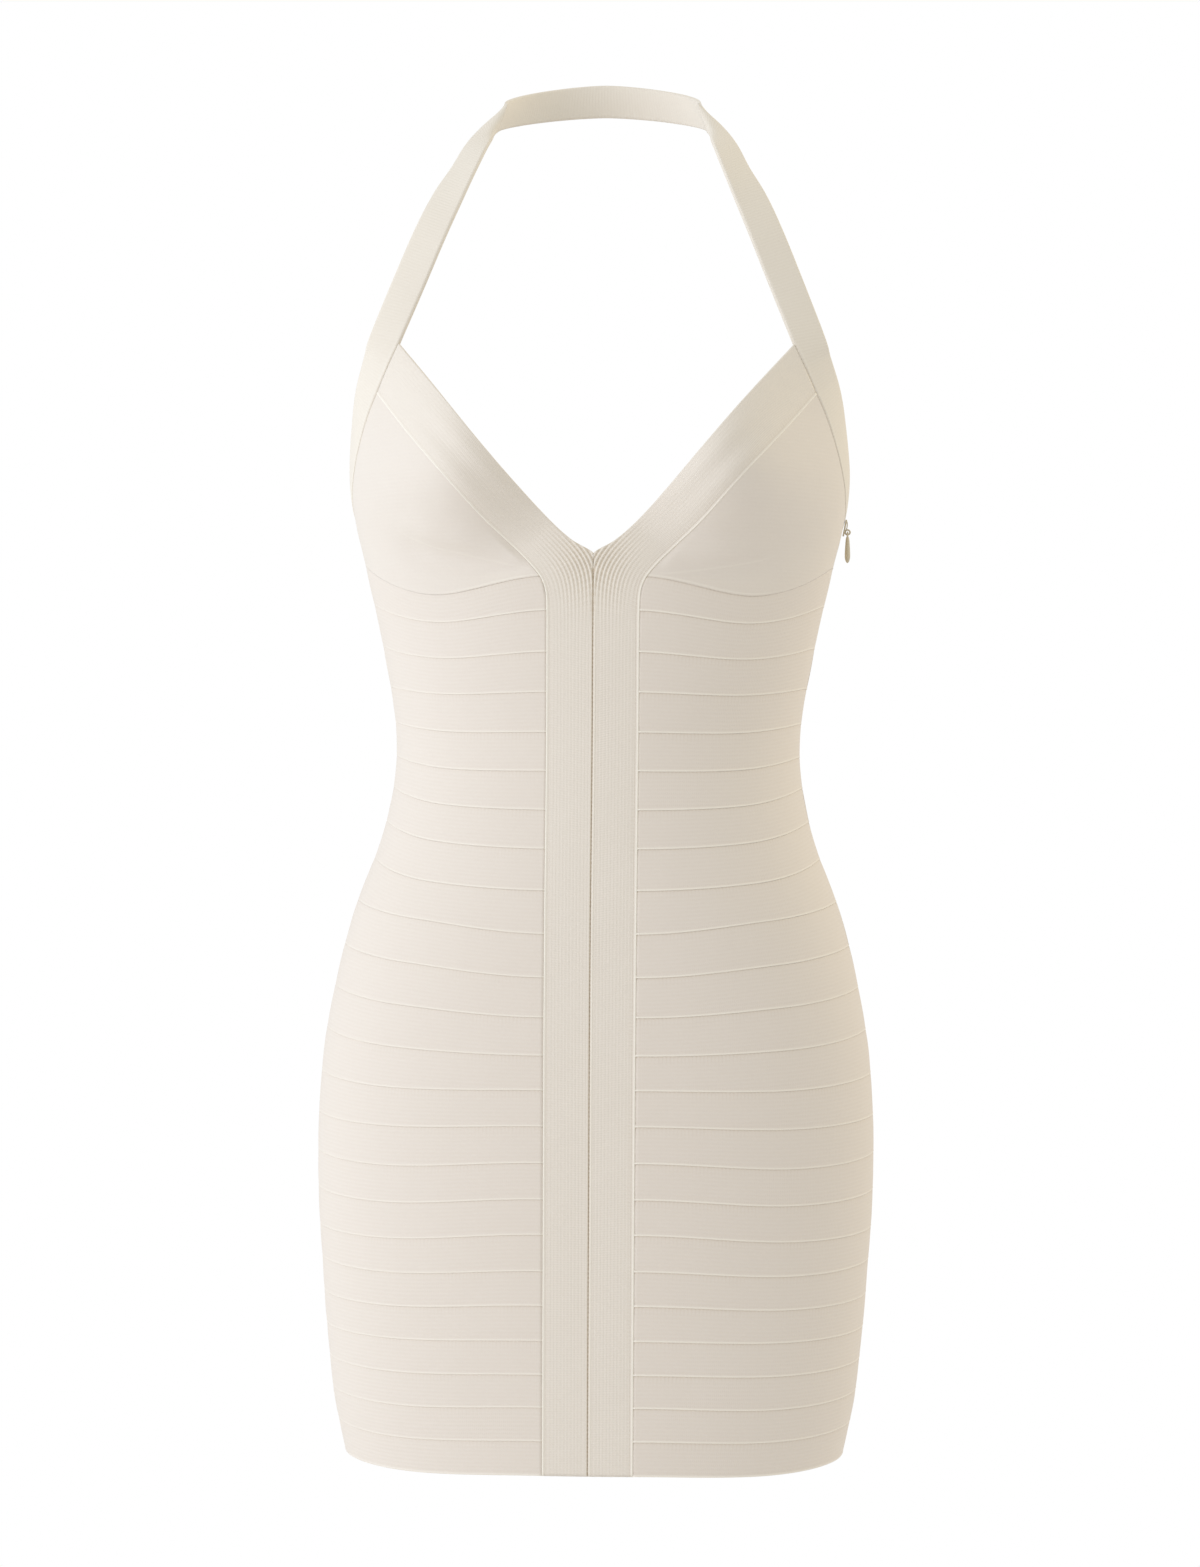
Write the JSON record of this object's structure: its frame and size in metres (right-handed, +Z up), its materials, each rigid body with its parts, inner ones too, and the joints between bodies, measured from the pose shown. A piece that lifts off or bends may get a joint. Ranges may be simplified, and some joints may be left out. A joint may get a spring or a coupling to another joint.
{
  "type": "bodycon dress",
  "caption": "Hollow halter bandage mini dress with a V neck, ribbed centre front bands, shaped cups, a low back and a side zip with a hanging pull.",
  "frame": {"origin": "inside the middle of the neck band at the nape, where the dress is held", "axes": "+Z up along the dress, -Y out of the front, +X towards the wearer's left"},
  "size_m": [0.332, 0.2287, 0.8308],
  "materials": {
    "knit": "cream bandage knit, matt with a faint sheen",
    "rib_knit": "cream ribbed knit, matt with a faint sheen",
    "zip_enamel": "cream enamel"
  },
  "bodies": {
    "dress": {"right_strip_01": "knit", "right_strip_02": "knit", "right_strip_03": "knit", "right_strip_04": "knit", "right_strip_05": "knit", "right_strip_06": "knit", "right_strip_07": "knit", "right_strip_08": "knit", "right_strip_09": "knit", "right_strip_10": "knit", "right_strip_11": "knit", "right_strip_12": "knit", "right_strip_13": "knit", "right_strip_14": "knit", "right_strip_15": "knit", "right_strip_16": "knit", "right_strip_17": "knit", "right_strip_18": "knit", "right_strip_19": "knit", "right_strip_20": "knit", "right_strip_21": "knit", "right_strip_22": "knit", "right_strip_23": "knit", "right_strip_24": "knit", "left_strip_01": "knit", "left_strip_02": "knit", "left_strip_03": "knit", "left_strip_04": "knit", "left_strip_05": "knit", "left_strip_06": "knit", "left_strip_07": "knit", "left_strip_08": "knit", "left_strip_09": "knit", "left_strip_10": "knit", "left_strip_11": "knit", "left_strip_12": "knit", "left_strip_13": "knit", "left_strip_14": "knit", "left_strip_15": "knit", "left_strip_16": "knit", "left_strip_17": "knit", "left_strip_18": "knit", "left_strip_19": "knit", "left_strip_20": "knit", "left_strip_21": "knit", "left_strip_22": "knit", "left_strip_23": "knit", "left_strip_24": "knit", "cup_left": "knit", "cup_right": "knit", "back_top_strip": "knit", "centre_band_left": "rib_knit", "centre_band_right": "rib_knit", "strap_left": "rib_knit", "strap_right": "rib_knit", "neck_band": "rib_knit", "back_binding": "rib_knit", "zip_slider": "zip_enamel"},
    "pull": {"zip_pull": "zip_enamel"}
  },
  "joints": [
    {"name": "pull_swing", "type": "hinge", "parent": "dress", "child": "pull", "pos_m": [0.14857, -0.05965, -0.26823], "axis": [0, -1, 0], "range_deg": [-4, 160]}
  ]
}
